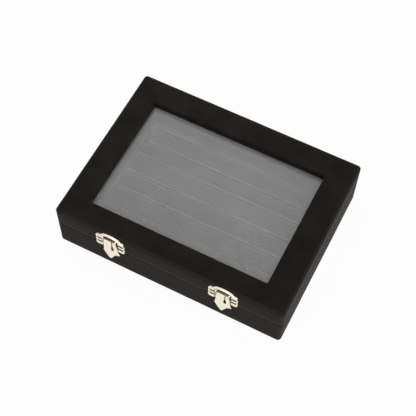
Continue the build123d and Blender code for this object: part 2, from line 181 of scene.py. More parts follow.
def cap():
    """Fills the open piece's open edges, turns its normals outwards and leaves edit mode."""
    bpy.ops.mesh.select_all(action="DESELECT")
    bpy.ops.mesh.select_mode(type="EDGE")
    bpy.ops.mesh.select_non_manifold()
    bpy.ops.mesh.edge_face_add()
    bpy.ops.mesh.select_all(action="SELECT")
    bpy.ops.mesh.normals_make_consistent(inside=False)
    close()


def finish_modifier(piece, kind, **settings):
    """Adds a modifier, sets it and applies it."""
    bpy.context.view_layer.objects.active = piece
    modifier = piece.modifiers.new(kind.title(), kind)
    for key, value in settings.items():
        setattr(modifier, key, value)
    bpy.ops.object.modifier_apply(modifier=modifier.name)


def smooth(piece, angle):
    """Shades a piece smooth, with its sharp edges kept."""
    bpy.ops.object.select_all(action="DESELECT")
    piece.select_set(True)
    bpy.context.view_layer.objects.active = piece
    bpy.ops.object.shade_smooth_by_angle(angle=math.radians(angle))


def dress(piece, slot, body, *nodes):
    """Gives a finished piece its slot's material, and puts it on its body in place of CAD nodes."""
    piece.data.materials.clear()
    piece.data.materials.append(finishes[slot])
    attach(piece, body)
    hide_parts(*nodes)


def paint(piece, name, amount_at):
    """Writes a value from 0 to 1 at each vertex, for the materials to read."""
    layer = piece.data.attributes.new(name, "FLOAT", "POINT")
    for number, vertex in enumerate(piece.data.vertices):
        layer.data[number].value = amount_at(vertex.co)


def join(*pieces):
    """Joins pieces into the first."""
    bpy.ops.object.select_all(action="DESELECT")
    for piece in pieces:
        piece.select_set(True)
    bpy.context.view_layer.objects.active = pieces[0]
    bpy.ops.object.join()
    return pieces[0]


def ramp(value, start, end):
    """0 before the start, 1 after the end, and smooth between them."""
    share = min(max((value - start) / (end - start), 0.0), 1.0)
    return share * share * (3 - 2 * share)


def along(stops, value):
    """Straight runs between stops, each a value with its result, in rising order."""
    for (low, first), (high, last) in zip(stops, stops[1:]):
        if value <= high:
            return first + (last - first) * max(value - low, 0.0) / (high - low)
    return stops[-1][1]


def wrap(name, rows, places, closed=True):
    """A grid primitive laid over rows of places; a closed one joins its last column to its first."""
    columns = len(places[0]) - (0 if closed else 1)
    piece = begin(
        name, bpy.ops.mesh.primitive_grid_add, x_subdivisions=columns, y_subdivisions=rows - 1, size=2,
    )
    shape = bmesh.from_edit_mesh(piece.data)
    for vertex in shape.verts:
        column = round((vertex.co.x + 1) / 2 * columns)
        row = round((vertex.co.y + 1) / 2 * (rows - 1))
        vertex.co = places[row][column % len(places[0])]
    bmesh.update_edit_mesh(piece.data)
    bpy.ops.mesh.select_all(action="SELECT")
    bpy.ops.mesh.remove_doubles(threshold=0.01 * mm)
    return piece


# ---------------------------------------------------------------- materials
def linear(code):
    """An sRGB hex colour as linear RGBA."""
    parts = [int(code[place : place + 2], 16) / 255 for place in (1, 3, 5)]
    return [part / 12.92 if part <= 0.04045 else ((part + 0.055) / 1.055) ** 2.4 for part in parts] + [1.0]


def put(material, socket, value):
    """Links a node's output to a socket, or sets the socket's own value."""
    if isinstance(value, bpy.types.NodeSocket):
        material.node_tree.links.new(value, socket)
    else:
        socket.default_value = value


def node(material, kind, inputs=(), **settings):
    """Adds a node with its settings, and sets or links its inputs."""
    made = material.node_tree.nodes.new(kind)
    for key, value in settings.items():
        setattr(made, key, value)
    for socket, value in dict(inputs).items():
        put(material, made.inputs[socket], value)
    return made


def begin_material(name):
    """A new node material with a Principled shader on its output, and Object coordinates."""
    material = bpy.data.materials.new(name)
    material.use_nodes = True
    material.node_tree.nodes.clear()
    output = node(material, "ShaderNodeOutputMaterial")
    shader = node(material, "ShaderNodeBsdfPrincipled")
    material.node_tree.links.new(shader.outputs["BSDF"], output.inputs["Surface"])
    place = node(material, "ShaderNodeTexCoord").outputs["Object"]
    return material, shader, place


def feed(material, shader, **inputs):
    """Sets or links the shader's own sockets; an underscore stands for a space in a socket's name."""
    for key, value in inputs.items():
        put(material, shader.inputs[key.replace("_", " ")], value)


def pattern(material, place, size, detail=2.0, roughness=0.5):
    """A noise whose blotches are about one size, in metres."""
    inputs = {"Vector": place, "Scale": 1 / size, "Detail": detail, "Roughness": roughness}
    return node(material, "ShaderNodeTexNoise", inputs).outputs["Fac"]


def spread(material, value, low, high, start=0.35, end=0.65):
    """A value from a pattern, stretched from its middle range to run from low to high."""
    inputs = {"Value": value, "From Min": start, "From Max": end, "To Min": low, "To Max": high}
    return node(material, "ShaderNodeMapRange", inputs).outputs["Result"]


def mix(material, share, first, second):
    """One colour or another, by a share from 0 to 1."""
    return node(material, "ShaderNodeMix", {0: share, 6: first, 7: second}, data_type="RGBA").outputs[2]


def painted(material, name):
    """A value that was painted on the piece's vertices; 0 where it wasn't."""
    return node(material, "ShaderNodeAttribute", attribute_name=name).outputs["Fac"]


def bump(material, height, depth, share=1.0):
    """A bump from a height pattern, with its real depth in metres."""
    inputs = {"Height": height, "Distance": depth, "Strength": share}
    return node(material, "ShaderNodeBump", inputs).outputs["Normal"]


def make_velvet(name, painted_highlight, pile, relief):
    """Rayon velvet, woven, sheared and dyed black: a matt black with a soft sheen at grazing angles, cloudy
    where the pile leans different ways, painted one even tone on the outer upright faces for how light
    falls on them, with a painted highlight on its edges and painted shade inside."""
    material, shader, place = begin_material(name)
    clouds = spread(material, pattern(material, place, 18 * mm, 3.0), 0.0, 1.0, 0.3, 0.7)
    colour = mix(material, clouds, linear("#141310"), linear("#201E1A"))
    # painted light and shade: the outer upright faces get one even tone, set for how the light falls on them
    colour = mix(material, painted(material, "outer"), colour, linear("#191714"))
    # painted highlight over edges, the rolls' shoulders and round the rolls' field, from the 'bend' attribute
    colour = mix(material, painted(material, "bend"), colour, linear(painted_highlight))
    # painted shade on the window's inner edges and inside the box
    colour = mix(material, painted(material, "painted_shade"), colour, linear("#070606"))
    # a pile is 0.2 mm; it is drawn several times coarser so that it shows
    grain = pattern(material, place, pile, 1.0)
    feed(
        material, shader, Base_Color=colour, Roughness=0.9, Specular_IOR_Level=0.15,
        Sheen_Weight=0.12, Sheen_Roughness=0.4, Sheen_Tint=linear("#F2E8DC"),
        Normal=bump(material, grain, 0.1 * mm, relief),
    )
    return material


def make_felt():
    """Needled wool felt, black: dull, with short matted fibres."""
    material, shader, place = begin_material("black_needled_felt")
    fibres = pattern(material, place, 1.4 * mm, 4.0, 0.7)
    colour = mix(material, spread(material, fibres, 0.0, 1.0), linear("#161615"), linear("#2C2B29"))
    feed(
        material, shader, Base_Color=colour, Roughness=0.95, Specular_IOR_Level=0.1,
        Sheen_Weight=0.1, Normal=bump(material, fibres, 0.2 * mm),
    )
    return material


def make_board():
    """Medium-density fibreboard, sawn: an even brown with fine darker and lighter fibres."""
    material, shader, place = begin_material("sawn_fibreboard")
    fibres = pattern(material, place, 0.9 * mm, 4.0, 0.7)
    patches = pattern(material, place, 14 * mm)
    fine = mix(material, spread(material, fibres, 0.0, 1.0), linear("#8A6A48"), linear("#B08D66"))
    colour = mix(material, spread(material, patches, 0.0, 0.4), fine, linear("#A27F58"))
    feed(material, shader, Base_Color=colour, Roughness=0.85, Normal=bump(material, fibres, 0.05 * mm))
    return material


def make_greyboard():
    """Recycled greyboard, rolled: grey-brown with darker specks of pulp."""
    material, shader, place = begin_material("rolled_greyboard")
    specks = pattern(material, place, 0.7 * mm, 3.0, 0.8)
    colour = mix(material, spread(material, specks, 0.0, 1.0, 0.3, 0.6), linear("#5E584F"), linear("#8B847A"))
    feed(material, shader, Base_Color=colour, Roughness=0.9, Normal=bump(material, specks, 0.03 * mm))
    return material


def make_glass():
    """Float glass, 2 mm: clear and smooth, with the faint grey haze that dust and handling leave on it. It
    mirrors a little less than clean glass, as its index is set a little low."""
    material, shader, place = begin_material("float_glass")
    haze = pattern(material, place, 45 * mm, 2.0)
    colour = mix(material, spread(material, haze, 0.0, 1.0), linear("#EAEAEC"), linear("#F2F1F1"))
    feed(material, shader, Base_Color=colour, Roughness=0.0, IOR=1.45, Transmission_Weight=0.83)
    return material


def make_plating(name, bright, dull, groove, roughness):
    """Stamped brass, barrel plated: a pale metal, a little uneven, with painted shade in its grooves, recess
    and slot, and a painted reflection on the barrel's top.
    """
    material, shader, place = begin_material(name)
    patches = pattern(material, place, 3.5 * mm, 3.0)
    clean = mix(material, spread(material, patches, 0.0, 0.6), linear(bright), linear(dull))
    # painted shade and reflection from the 'groove' attribute, on grooves, hollows and the barrel's top
    colour = mix(material, painted(material, "groove"), clean, linear(groove))
    feed(
        material, shader, Base_Color=colour, Metallic=1.0,
        Roughness=spread(material, patches, roughness, roughness + 0.1),
        Normal=bump(material, pattern(material, place, 0.8 * mm), 0.01 * mm),
    )
    return material


def make_wire():
    """Drawn steel wire, zinc plated: grey, with fine marks along its length."""
    material, shader, place = begin_material("drawn_steel_wire")
    marks = pattern(material, place, 0.5 * mm, 2.0)
    colour = mix(material, spread(material, marks, 0.0, 1.0), linear("#9C978F"), linear("#B5B0A7"))
    relief = bump(material, marks, 0.01 * mm)
    feed(material, shader, Base_Color=colour, Metallic=1.0, Roughness=0.3, Normal=relief)
    return material


finishes = {
    "board": make_board(),
    # the second colour of each velvet is its painted highlight
    "velvet_cover": make_velvet("black_rayon_velvet", "#332E29", 0.9 * mm, 0.4),
    "velvet_trim": make_velvet("black_velvet_on_card", "#5C554C", 0.8 * mm, 0.15),
    "velvet_roll": make_velvet("black_velvet_over_foam", "#746C61", 0.9 * mm, 0.15),
    "felt": make_felt(),
    "card": make_greyboard(),
    "glass": make_glass(),
    # the third colour of each plating is its painted shade
    "latch_plating": make_plating("champagne_plated_brass", "#F5EEDA", "#E5DCC3", "#3A2208", 0.2),
    "hinge_brass": make_plating("satin_plated_brass", "#D9C08A", "#BFA46B", "#5A4322", 0.3),
    "steel_wire": make_wire(),
}
for part in frame["record"]["subparts"]:
    carried = frame["nodes"][part["node"]]
    carried.data.materials.clear()
    carried.data.materials.append(finishes[part["material_slot"]])


# ---------------------------------------------------------------- cloth over the boards
def plan_of(low, high):
    """A plan rectangle as (low x, high x, low y, high y)."""
    return (low.x, high.x, low.y, high.y)


def grow(plan, amount):
    """A plan rectangle moved outwards by one amount all round."""
    return (plan[0] - amount, plan[1] + amount, plan[2] - amount, plan[3] + amount)


def between(first, second, share):
    """A plan rectangle part of the way from one to another."""
    return tuple(a + (b - a) * share for a, b in zip(first, second))


def around(plan, radius, height):
    """Places round a rectangle with rounded corners, anticlockwise from its front left corner."""
    low_x, high_x, low_y, high_y = plan
    radius = max(radius, least_radius)
    centres = (
        (low_x + radius, low_y + radius, 180),
        (high_x - radius, low_y + radius, 270),
        (high_x - radius, high_y - radius, 0),
        (low_x + radius, high_y - radius, 90),
    )
    places = []
    for number, (x, y, start) in enumerate(centres):
        for step in range(corner_faces + 1):
            angle = math.radians(start + 90 * step / corner_faces)
            places.append(Vector((x + radius * math.cos(angle), y + radius * math.sin(angle), height)))
        corner_end = places[-1]
        next_x, next_y, next_start = centres[(number + 1) % 4]
        angle = math.radians(next_start)
        side_end = Vector((next_x + radius * math.cos(angle), next_y + radius * math.sin(angle), height))
        for step in range(1, side_faces):
            places.append(corner_end.lerp(side_end, step / side_faces))
    return places


def upright(plan, radius, start, end, shares):
    """Rows on an upright face, at shares of the way from one height to another."""
    return [around(plan, radius, start + share * (end - start)) for share in shares]


def bend(plan, radius, level, bend_radius, across, up, steps=4, follow=True):
    """Rows round a bend, from an upright face on the plan to a level face. Across is 1 where the level face
    lies outside the plan and -1 where it lies inside. Up is 1 where the upright face stands above the level
    one and -1 where it hangs below. The plan's corners follow the bend or keep their radius."""
    rows = []
    for step in range(steps + 1):
        angle = math.radians(90 * step / steps)
        amount = across * bend_radius * (1 - math.cos(angle))
        height = level + up * bend_radius * (1 - math.sin(angle))
        rows.append(around(grow(plan, amount), radius + (amount if follow else 0.0), height))
    return rows


def uneven(place, amount=cloth_wave):
    """A place moved a little, as cloth glued to board is never quite flat."""
    return place + noise.noise_vector(place / cloth_wave_length) * amount


def painted_side_share(place):
    """1 on the outer upright faces of the box and 0 elsewhere: where the velvet is painted one even tone, set
    for how light falls there.
    """
    inside = min(box_plan[1] - abs(place.x), box_plan[3] - abs(place.y))
    return 1 - ramp(inside, 0.3 * edge_radius, edge_radius)


def highlight_share(place):
    """How much painted highlight: 0 on the box's flat faces, and most where the cloth goes over an edge."""
    from_side = box_plan[1] - abs(place.x)
    from_front = box_plan[3] - abs(place.y)
    inside = min(from_side, from_front)
    top_edge = ramp(place.z, lid_top - edge_radius, lid_top - 0.4 * edge_radius)
    top_edge *= 1 - ramp(inside, 0.5 * edge_radius, edge_radius)
    rim_edge = 1 - ramp(abs(place.z - seam), 1.0 * mm, 1.6 * mm)
    rim_edge *= 1 - ramp(inside, 0.0, edge_radius)
    corner = 1 - ramp(max(from_side, from_front), 0.6 * corner_radius, 1.1 * corner_radius)
    return highlight_amount * max(top_edge, rim_edge, corner)


def painted_shade_share(place):
    """How much painted shade: most on the window's inner edges and inside the box, 0 on its outside."""
    inside = min(box_plan[1] - abs(place.x), box_plan[3] - abs(place.y))
    below = min(lid_top - place.z, place.z)
    return shade_amount * ramp(inside, wall - mm, wall) * ramp(below, 0.5 * lip_radius, lip_radius)


def make_cloth(name, rows, body, node_name):
    """Cloth through rows of places from one of its edges to the other, thickened inwards."""
    rows = [[uneven(place) for place in row] for row in rows]
    for place in (place for row in rows for place in row):
        place.z = max(place.z, cad_low[2])
    piece = wrap(name, len(rows), rows)
    bpy.ops.mesh.normals_make_consistent(inside=False)
    close()
    finish_modifier(piece, "SOLIDIFY", thickness=velvet, offset=-1.0, use_even_offset=True)
    # painted light and shade on the velvet: a side tone, a highlight over the edges and shade inside
    paint(piece, "outer", painted_side_share)
    paint(piece, "bend", highlight_share)
    paint(piece, "painted_shade", painted_shade_share)
    smooth(piece, 60)
    dress(piece, "velvet_cover", body, node_name)


box_plan = plan_of(lid_low, lid_high)
wall = face_low.x - base_low.x - insert_gap  # board with cloth on both faces
pocket = grow(box_plan, -wall)
window = grow((rail_low.x, rail_high.x, rail_front.y, rail_back.y), -velvet)


def make_lid_cloth():
    """Up the window edge, over the rails, down the outside, under the rim and up the inside."""
    rows = upright(window, window_radius, glass_top, lid_top - lip_radius, (0, 0.5))
    rows += bend(window, window_radius, lid_top, lip_radius, 1, -1, 5)
    start = grow(window, lip_radius)
    end = grow(box_plan, -edge_radius)
    for step in range(1, rail_rows):
        share = step / rail_rows
        rows.append(around(between(start, end, share), window_radius + lip_radius * (1 - share), lid_top))
    rows += reversed(bend(box_plan, corner_radius, lid_top, edge_radius, -1, -1, 5))
    rows += upright(box_plan, corner_radius, lid_top - edge_radius, seam + seam_radius, side_shares)
    rows += bend(box_plan, corner_radius, seam, seam_radius, -1, 1)
    rows += reversed(bend(pocket, rim_radius, seam, rim_radius, 1, 1, follow=False))
    rows += upright(pocket, rim_radius, seam + rim_radius, bead_bottom, (0.5, 1.0))
    make_cloth("lid_cloth", rows, "lid", "lid_velvet")


def make_base_cloth():
    """Up the inside of the walls, over the rim, down the outside and turned in under the floor."""
    rows = upright(pocket, rim_radius, floor_top, seam - rim_radius, (0, 0.5))
    rows += bend(pocket, rim_radius, seam, rim_radius, 1, -1, follow=False)
    rows += reversed(bend(box_plan, corner_radius, seam, seam_radius, -1, -1))
    rows += upright(box_plan, corner_radius, seam - seam_radius, edge_radius, side_shares)
    rows += bend(box_plan, corner_radius, 0, edge_radius, -1, 1, 5)
    rows.append(around(grow(box_plan, -fold_width), fold_radius, 0))
    make_cloth("base_cloth", rows, "base", "base_velvet")


make_lid_cloth()
make_base_cloth()


# ---------------------------------------------------------------- insert and rolls
def make_insert_cover():
    """The covered card around the rolls, with its cloth turned over both edges."""
    outside = plan_of(face_low, face_high)
    field = grow(plan_of(field_low, field_high), insert_gap)
    rows = [around(outside, rim_radius, face_low.z)]
    rows += bend(outside, rim_radius, seam, rim_radius, -1, -1, follow=False)
    start = grow(outside, -rim_radius)
    end = grow(field, card_radius)
    rows += [around(between(start, end, share), rim_radius, seam) for share in side_shares]
    rows += reversed(bend(field, rim_radius, seam, card_radius, 1, -1, 5, follow=False))
    rows.append(around(field, rim_radius, face_low.z))
    rows = [[uneven(place, 0.5 * cloth_wave) for place in row] for row in rows]
    rows.append(rows[0])
    piece = wrap("insert_cover", len(rows), rows)
    bpy.ops.mesh.normals_make_consistent(inside=False)
    close()
    # painted highlight round the edge of the rolls' field
    paint(piece, "bend", lambda place: 1 - ramp(field_distance(place, field), 0.3 * mm, 2.2 * mm))
    smooth(piece, 60)
    dress(piece, "velvet_trim", "base", "insert_face")


def field_distance(place, field):
    """How far a place lies outside the rolls' field."""
    return max(field[0] - place.x, place.x - field[1], field[2] - place.y, place.y - field[3], 0.0)


def crown(place, low, high):
    """Height of a roll's top at a place: its crown across, less near both ends."""
    middle = (low.y + high.y) / 2
    across = (place.y - middle) / (high.y - middle)
    from_end = min(place.x - low.x, high.x - place.x)
    return high.z - roll_crown * (across * across + 0.5 * (1 - ramp(from_end, 0.0, end_fall)))


def begin_roll(number):
    """A roll a little smaller than its place, remeshed and ready to be blown up."""
    low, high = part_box(f"foam_roll_{number}")
    room = high - low - Vector((roll_start, roll_start, roll_start))
    piece = begin(
        f"velvet_roll_{number}", bpy.ops.mesh.primitive_cube_add,
        size=1, location=(low + high) / 2, scale=room,
    )
    bpy.ops.mesh.select_all(action="SELECT")
    bpy.ops.mesh.bevel(offset=roll_shoulder, segments=4, affect="EDGES")
    close()
    finish_modifier(piece, "REMESH", mode="VOXEL", voxel_size=roll_voxel)
    for vertex in piece.data.vertices:
        vertex.co.z = min(vertex.co.z, crown(vertex.co, low, high) - roll_start / 2)
    return piece


def blow_up(pieces):
    """Blows the pieces up as cloth, with no gravity, and keeps the result."""
    for piece in pieces:
        cloth = piece.modifiers.new("Cloth", "CLOTH")
        cloth.settings.use_pressure = True
        cloth.settings.uniform_pressure_force = roll_pressure
        cloth.settings.effector_weights.gravity = 0.0
    for step in range(1, blow_steps + 1):
        bpy.context.scene.frame_set(step)
    for piece in pieces:
        bpy.context.view_layer.objects.active = piece
        bpy.ops.object.modifier_apply(modifier="Cloth")
    bpy.context.scene.frame_set(1)


def settle_roll(piece, number, starts):
    """Caps how far a roll's cloth moved, keeps it in the roll's place and finishes it."""
    node_name = f"foam_roll_{number}"
    low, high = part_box(node_name)
    for vertex, start in zip(piece.data.vertices, starts):
        move = vertex.co - start
        if move.length > roll_swell:
            vertex.co = start + move * (roll_swell / move.length)
        wave = noise.noise_vector(vertex.co / roll_wave_length) * roll_wave
        vertex.co += Vector((wave.x, wave.y, 0.4 * (wave.z - roll_wave)))
        top = crown(vertex.co, low, high)
        for axis, most in ((0, high.x), (1, high.y), (2, top)):
            vertex.co[axis] = min(max(vertex.co[axis], low[axis]), most)
    finish_modifier(piece, "SUBSURF", levels=1)
    middle = (low.y + high.y) / 2
    half = high.y - middle

    def painted_highlight(place):
        """1 on the roll's upper long edges and ends: a painted highlight."""
        from_end = min(place.x - low.x, high.x - place.x)
        from_side = half - abs(place.y - middle)
        upper = ramp(place.z, seam - 3 * mm, seam - 1 * mm)
        return upper * (1 - ramp(min(from_side, from_end), 0.7 * mm, 1.9 * mm))

    paint(piece, "bend", painted_highlight)
    smooth(piece, 180)
    dress(piece, "velvet_roll", "base", node_name)


def make_rolls():
    """The velvet-covered foam rolls."""
    rolls = [begin_roll(number) for number in range(1, roll_count + 1)]
    starts = [[vertex.co.copy() for vertex in piece.data.vertices] for piece in rolls]
    blow_up(rolls)
    for number, (piece, start) in enumerate(zip(rolls, starts), start=1):
        settle_roll(piece, number, start)


make_insert_cover()
make_rolls()

# ---------------------------------------------------------------- latches
# inset and drop of a rounded edge, in mm; a plate's edge starts at the wall, and a flap's face lies lower
# than its border
plate_edge = ((0.0, 9.0), (0.0, 0.32), (0.06, 0.14), (0.18, 0.03), (0.4, 0.0))
flap_edge = ((0.0, 0.5), (0.12, 0.2), (0.35, 0.04), (0.85, 0.0), (1.15, 0.22), (1.5, 0.2))
barrel_turns = (200, 160, 120, 80, 40)  # degrees from straight out, where the flap's sheet wraps its barrel


def steps_across(low, high, count, edge):
    """Places from one edge to the other, each with the drop of the face there."""
    start = [(low + inset * mm, drop * mm) for inset, drop in edge]
    end = [(high - inset * mm, drop * mm) for inset, drop in reversed(edge)]
    first = start[-1][0]
    inner = [(first + (end[0][0] - first) * number / count, start[-1][1]) for number in range(1, count)]
    return start + inner + end


def rod(name, x_low, x_high, y, z, radius):
    """A round bar along X with softened ends."""
    middle = ((x_low + x_high) / 2, y, z)
    piece = begin(
        name, bpy.ops.mesh.primitive_cylinder_add, vertices=rod_sides, radius=radius, depth=x_high - x_low,
        location=middle, rotation=(0, math.radians(90), 0),
    )
    close()
    finish_modifier(piece, "BEVEL", width=rod_edge, segments=2, limit_method="ANGLE")
    return piece


def plate_top(across, half_width, high):
    """Top edge of a latch plate: an arch, then wings that slope to rounded corners."""
    reach = abs(across)
    arch_radius = (arch_half_width**2 + arch_rise**2) / (2 * arch_rise)
    if reach < arch_half_width:
        return high - arch_radius + math.sqrt(arch_radius**2 - reach**2)
    edge = high - arch_rise - wing_slope * (reach - arch_half_width) / (half_width - arch_half_width)
    return edge - corner_drop(reach, half_width, wing_tip_corner)


def corner_drop(reach, half_width, radius):
    """How far a wing's rounded corner takes its edge in."""
    past = min(max(reach - half_width + radius, 0.0), radius)
    return radius - math.sqrt(radius**2 - past**2)


def make_latch_plate(side):
    """The stamped plate on the lid: ribbed wings, a rim along its top, a recess and two ears for the pin."""
    node_name = f"{side}_latch_plate"
    low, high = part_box(node_name)
    pin_low, pin_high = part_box(f"{side}_latch_pin")
    pin = (pin_low + pin_high) / 2
    middle = (low.x + high.x) / 2
    half_width = (high.x - low.x) / 2
    rib = (high.z - arch_rise - low.z) / rib_count

    def out_at(across, height):
        """How far the plate's face stands in front of the wall."""
        reach = abs(across)
        groove = 0.0
        for number in range(1, rib_count):
            groove = max(groove, 1 - ramp(abs(height - low.z - rib * number), 0.4 * groove_half, groove_half))
        out = sheet + ramp(reach, wing_inner, wing_inner + 0.4 * mm) * (wing_lift - groove_depth * groove)
        below = plate_top(across, half_width, high.z) - height
        out = max(out, sheet + rim_lift * (1 - ramp(below, rim_width - 0.3 * mm, rim_width + 0.1 * mm)))
        return out + (recess_out - out) * recess_at(across, height)

    def recess_at(across, height):
        """1 in the recess behind the barrel."""
        wide = 1 - ramp(abs(across), recess_half_width - 0.2 * mm, recess_half_width)
        tall = 1 - ramp(abs(height - pin.z), recess_half_height - 0.3 * mm, recess_half_height)
        return wide * tall

    columns = steps_across(-half_width, half_width, plate_columns, plate_edge)
    places = [[] for row in range(plate_rows - 1 + 2 * len(plate_edge))]
    for across, side_drop in columns:
        bottom = low.z + corner_drop(abs(across), half_width, wing_corner)
        top = plate_top(across, half_width, high.z)
        for row, (height, drop) in enumerate(steps_across(bottom, top, plate_rows, plate_edge)):
            out = max(out_at(across, height) - max(drop, side_drop), 0.0)
            places[row].append(Vector((middle + across, high.y - out, height)))
    piece = wrap(f"{side}_winged_plate", len(places), places, closed=False)
    cap()
    ears = []
    ear_radius = pin_high.z - pin.z + ear_wall
    for way in (-1, 1):
        ends = sorted((middle + way * recess_half_width, middle + way * (recess_half_width + ear_width)))
        ears.append(rod(f"{side}_ear", *ends, pin.y, pin.z, ear_radius))
        foot = begin(
            f"{side}_ear_foot", bpy.ops.mesh.primitive_cube_add, size=1,
            location=((ends[0] + ends[1]) / 2, (pin.y + high.y) / 2, pin.z),
            scale=(ends[1] - ends[0], high.y - pin.y, 2 * ear_radius),
        )
        close()
        finish_modifier(foot, "BEVEL", width=metal_edge, segments=2)
        ears.append(foot)
    join(piece, *ears)

    def painted_metal_shade(place):
        """Painted shade: 1 in the ribs' grooves, and 0.6 on the low sheet and the recess beside and behind
        the flap.
        """
        across, out = place.x - middle, high.y - place.y
        wing = ramp(abs(across), wing_inner, wing_inner + 0.5 * mm)
        edge = ramp(half_width - abs(across), 0.4 * mm, 1.5 * mm)
        from_edge = min(place.z - low.z, plate_top(across, half_width, high.z) - place.z)
        inside = ramp(from_edge, 0.4 * mm, 1.2 * mm)
        deep = 1 - ramp(out, sheet + 0.5 * wing_lift, sheet + wing_lift)
        flat = (1 - wing) * (1 - ramp(out, sheet + 0.1 * mm, sheet + 0.5 * mm))
        return inside * max(wing * edge * deep, 0.6 * flat)

    paint(piece, "groove", painted_metal_shade)
    smooth(piece, 40)
    dress(piece, "latch_plating", "lid", node_name)


def flap_bottom(across, tip_half, tip_height, apex):
    """Lower edge of a flap: straight from the left tip to the nose, up to a notch, out to the right tip."""
    left = apex + (tip_height - apex) * -across / tip_half
    notch = tip_height + notch_rise
    if across > notch_across:
        return notch + (tip_height - notch) * (across - notch_across) / (tip_half - notch_across)
    right = apex + (notch - apex) * across / notch_across
    return (left + right + math.sqrt((left - right) ** 2 + (2 * nose_apex) ** 2)) / 2


def make_latch_flap(side):
    """The swinging duck-bill: a domed sheet with a rolled border, wrapped over its barrel, with its slot."""
    node_name = f"{side}_latch_flap"
    low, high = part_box(node_name)
    pin_low, pin_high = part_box(f"{side}_latch_pin")
    plate_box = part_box(f"{side}_latch_plate")
    pin = (pin_low + pin_high) / 2
    plate_middle = (plate_box[0].x + plate_box[1].x) / 2
    middle = (low.x + high.x) / 2
    tip_half = (high.x - low.x) / 2
    barrel = high.z - pin.z
    barrel_half = recess_half_width - latch_gap
    wall_y = plate_box[1].y
    front = wall_y - pin.y + barrel
    tip_height = low.z + tip_above_nose
    neck = barrel_half - (middle - plate_middle)
    waist = seam - waist_drop
    # half widths of the flap at rising heights, and shares of its dome
    widths = (
        (tip_height, tip_half), (tip_height + 2.6 * mm, 6.9 * mm), (waist, 6.6 * mm),
        (pin.z - 3.5 * mm, 5.5 * mm), (pin.z - 2.5 * mm, 5.1 * mm), (pin.z - 1.8 * mm, neck),
    )
    domes = ((waist, 1.0), ((waist + pin.z) / 2, 0.75), (pin.z, 0.25))

    def out_at(across, height):
        """How far the flap's face stands in front of the wall."""
        lean = flap_nose_out * (1 - ramp(height, low.z, tip_height))
        return front + lean - flap_dome * along(domes, height) * (across / flap_spread) ** 2

    columns = steps_across(-tip_half, tip_half, flap_columns, flap_edge)
    face_inset, face_drop = (amount * mm for amount in flap_edge[-1])
    places = [[] for row in range(len(barrel_turns) + flap_rows + 1 + len(flap_edge))]
    for across, side_drop in columns:
        share = across / tip_half
        bottom = flap_bottom(across, tip_half, tip_height, low.z - nose_apex)
        # round the barrel
        for row, turn in enumerate(barrel_turns):
            angle = math.radians(turn)
            out = wall_y - pin.y + (barrel - min(side_drop, barrel_inset)) * math.cos(angle)
            height = pin.z + barrel * math.sin(angle)
            places[row].append(Vector((middle + share * neck, wall_y - out, height)))
        # down the front to the lower edge
        face_height = bottom + face_inset - pin.z
        parts = [number / flap_rows for number in range(flap_rows + 1)]
        heights = [(pin.z + face_height * part, face_drop * ramp(part, 0.0, 0.06)) for part in parts]
        heights += [(bottom + inset * mm, drop * mm) for inset, drop in reversed(flap_edge)]
        for row, (height, drop) in enumerate(heights, start=len(barrel_turns)):
            reach = share * along(widths, height)
            out = out_at(reach, height) - max(drop, side_drop)
            places[row].append(Vector((middle + reach, wall_y - out, height)))
    piece = wrap(f"{side}_duck_bill", len(places), places, closed=False)
    shape = bmesh.from_edit_mesh(piece.data)
    if sum(face.normal.y * face.calc_area() for face in shape.faces) > 0:
        bpy.ops.mesh.flip_normals()
    close()
    # a little under the sheet's thickness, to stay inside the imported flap
    finish_modifier(piece, "SOLIDIFY", thickness=sheet - 0.05 * mm, offset=-1.0)

    # the slot: narrow from the barrel down, and wide where the catch comes through
    slot_x = middle + slot_across
    half_outline = (
        (slot_half, high.z + mm),
        (slot_half, seam + slot_narrow),
        (slot_wide_half, seam + slot_wide),
        (0.9 * slot_wide_half, seam + 0.5 * (slot_wide + slot_end)),
        (0.5 * slot_wide_half, seam + 1.6 * slot_end),
    )
    outline = [*half_outline, (0.0, seam + slot_end)]
    outline += [(-across, height) for across, height in reversed(half_outline)]
    rows = []
    for out in (-mm, 7 * mm):  # from behind the flap to in front of it
        rows.append([Vector((slot_x + across, wall_y - out, height)) for across, height in outline])
    cutter = wrap("slot_cutter", 2, rows)
    cap()
    finish_modifier(piece, "BOOLEAN", operation="DIFFERENCE", solver="EXACT", object=cutter)
    bpy.data.objects.remove(cutter)
    rod_place = (pin.y, pin.z, barrel - barrel_inset)
    long_rod = rod(f"{side}_barrel", plate_middle - barrel_half, slot_x - slot_half, *rod_place)
    short_rod = rod(f"{side}_barrel_end", slot_x + slot_half, plate_middle + barrel_half, *rod_place)
    join(piece, long_rod, short_rod)

    slot_widths = ((seam, 0.0), (seam + slot_wide, slot_wide_half), (seam + slot_narrow, slot_half))

    def painted_metal_shade(place):
        """1 on the barrel's top, as a painted reflection, and at the back of the slot's walls, as painted
        shade.
        """
        top = ramp(place.z, pin.z + 0.1 * mm, pin.z + 0.5 * mm)
        depth = out_at(place.x - middle, place.z) - (wall_y - place.y)
        from_slot = abs(place.x - slot_x) - along(slot_widths, place.z)
        slot_wall = (1 - ramp(from_slot, 0.2 * mm, 0.5 * mm)) * ramp(depth, 0.25 * mm, 0.5 * mm)
        return max(0.9 * top, slot_wall)

    paint(piece, "groove", painted_metal_shade)
    smooth(piece, 40)
    dress(piece, "latch_plating", f"{side}_flap", node_name)


for side in ("left", "right"):
    make_latch_plate(side)
    make_latch_flap(side)


# ---------------------------------------------------------------- nodes that keep their shape
def soften(node_name, width):
    """Rounds the sharp edges of a node that is carried over."""
    carried = frame["nodes"][node_name]
    edges = carried.modifiers.new("Bevel", "BEVEL")
    edges.width = width
    edges.segments = 2
    edges.limit_method = "ANGLE"
    edges.angle_limit = math.radians(40)


